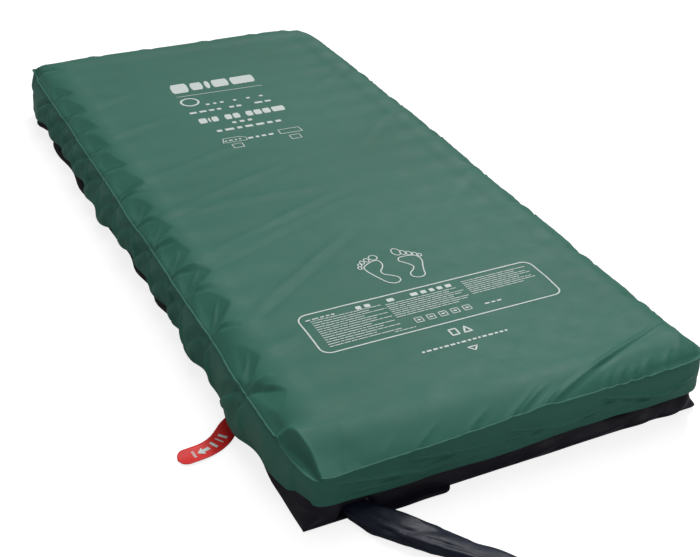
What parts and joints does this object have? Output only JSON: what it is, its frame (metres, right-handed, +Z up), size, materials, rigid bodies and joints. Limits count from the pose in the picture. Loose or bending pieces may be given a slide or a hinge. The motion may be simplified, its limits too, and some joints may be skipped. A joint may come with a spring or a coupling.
{
  "type": "pressure relief mattress",
  "caption": "Alternating air-on-foam hospital mattress with a stretch cover zipped to a coated base, inner air cells, a side deflation tag and a hose bundle to the pump.",
  "frame": {"origin": "centre of the flat underside, on the bed platform", "axes": "+Y towards the head end, +X to the right seen from the foot end, +Z up"},
  "size_m": [1.0423, 2.4573, 0.155],
  "materials": {
    "cover_fabric": "satin coated stretch knit",
    "base_fabric": "coated woven nylon",
    "sleeve_fabric": "glossy coated nylon",
    "zip_tape": "woven",
    "zip_coil": "satin",
    "zip_metal": "satin",
    "foam": "open-cell foam",
    "webbing": "woven webbing",
    "stud_metal": "satin",
    "cell_film": "coated film",
    "air_hose": "satin",
    "fitting_plastic": "moulded",
    "connector_plastic": "moulded",
    "button_plastic": "moulded",
    "seal_rubber": "matt",
    "spring_steel": "satin",
    "tag_webbing": "coated webbing",
    "tag_plastic": "moulded"
  },
  "bodies": {
    "root": {"base_bottom_panel": "base_fabric", "base_side_wall": "base_fabric", "hose_exit_flap": "base_fabric", "zip_tape_lower": "zip_tape", "zip_coil_lower": "zip_coil", "foam_base": "foam", "cell_tie_straps": "webbing", "tie_strap_press_studs": "stud_metal", "air_cell_01": "cell_film", "air_cell_02": "cell_film", "air_cell_03": "cell_film", "air_cell_04": "cell_film", "air_cell_05": "cell_film", "air_cell_06": "cell_film", "air_cell_07": "cell_film", "air_cell_08": "cell_film", "air_cell_09": "cell_film", "air_cell_10": "cell_film", "air_cell_11": "cell_film", "air_cell_12": "cell_film", "air_cell_13": "cell_film", "air_cell_14": "cell_film", "air_cell_15": "cell_film", "air_cell_16": "cell_film", "air_cell_17": "cell_film", "air_cell_18": "cell_film", "air_cell_19": "cell_film", "air_cell_20": "cell_film", "air_line_a": "air_hose", "air_line_b": "air_hose", "static_air_line": "air_hose", "line_a_tees": "fitting_plastic", "line_b_tees": "fitting_plastic", "static_line_tees": "fitting_plastic", "check_valve": "fitting_plastic", "cross_hose": "air_hose", "link_hose": "air_hose", "cpr_valve_body": "fitting_plastic", "supply_hoses": "air_hose", "hose_sleeve": "sleeve_fabric", "sleeve_collar": "seal_rubber", "connector_body": "connector_plastic", "connector_o_rings": "seal_rubber", "cap_hinge_pin": "spring_steel", "latch_spring_left": "spring_steel", "latch_spring_right": "spring_steel"},
    "cover": {"cover_top_panel": "cover_fabric", "cover_side_border": "cover_fabric", "cover_seam_weld": "cover_fabric", "zip_tape_upper": "zip_tape", "zip_coil_upper": "zip_coil"},
    "zip_slider": {"zip_slider": "zip_metal", "zip_pull_pin": "zip_metal"},
    "zip_pull": {"zip_pull_tab": "zip_metal"},
    "deflation_tag": {"cpr_plug_bar": "tag_plastic", "cpr_pull_tag": "tag_webbing", "cpr_plug_seals": "seal_rubber"},
    "connector_cap": {"transport_cap": "connector_plastic"},
    "latch_left": {"latch_button_left": "button_plastic"},
    "latch_right": {"latch_button_right": "button_plastic"}
  },
  "joints": [
    {"name": "cover_lift", "type": "slide", "parent": "root", "child": "cover", "axis": [0, 0, 1], "range_m": [0, 0.3]},
    {"name": "zip_slide", "type": "slide", "parent": "root", "child": "zip_slider", "axis": [0, 1, 0], "range_m": [0, 1.65]},
    {"name": "zip_pull_swing", "type": "hinge", "parent": "zip_slider", "child": "zip_pull", "pos_m": [-0.4475, -0.85, 0.052], "axis": [1, 0, 0], "range_deg": [-75, 75]},
    {"name": "tag_pull", "type": "slide", "parent": "root", "child": "deflation_tag", "axis": [-1, 0, 0], "range_m": [0, 0.11]},
    {"name": "cap_swing", "type": "hinge", "parent": "root", "child": "connector_cap", "pos_m": [-0.53, -1.435, 0.034], "axis": [0, -1, 0], "range_deg": [0, 125]},
    {"name": "latch_left_press", "type": "slide", "parent": "root", "child": "latch_left", "axis": [0, -1, 0], "range_m": [0, 0.002], "stiffness_N_per_m": 800, "springref_m": -0.003, "deforming": ["latch_spring_left"]},
    {"name": "latch_right_press", "type": "slide", "parent": "root", "child": "latch_right", "axis": [0, 1, 0], "range_m": [0, 0.002], "stiffness_N_per_m": 800, "springref_m": -0.003, "deforming": ["latch_spring_right"]}
  ]
}
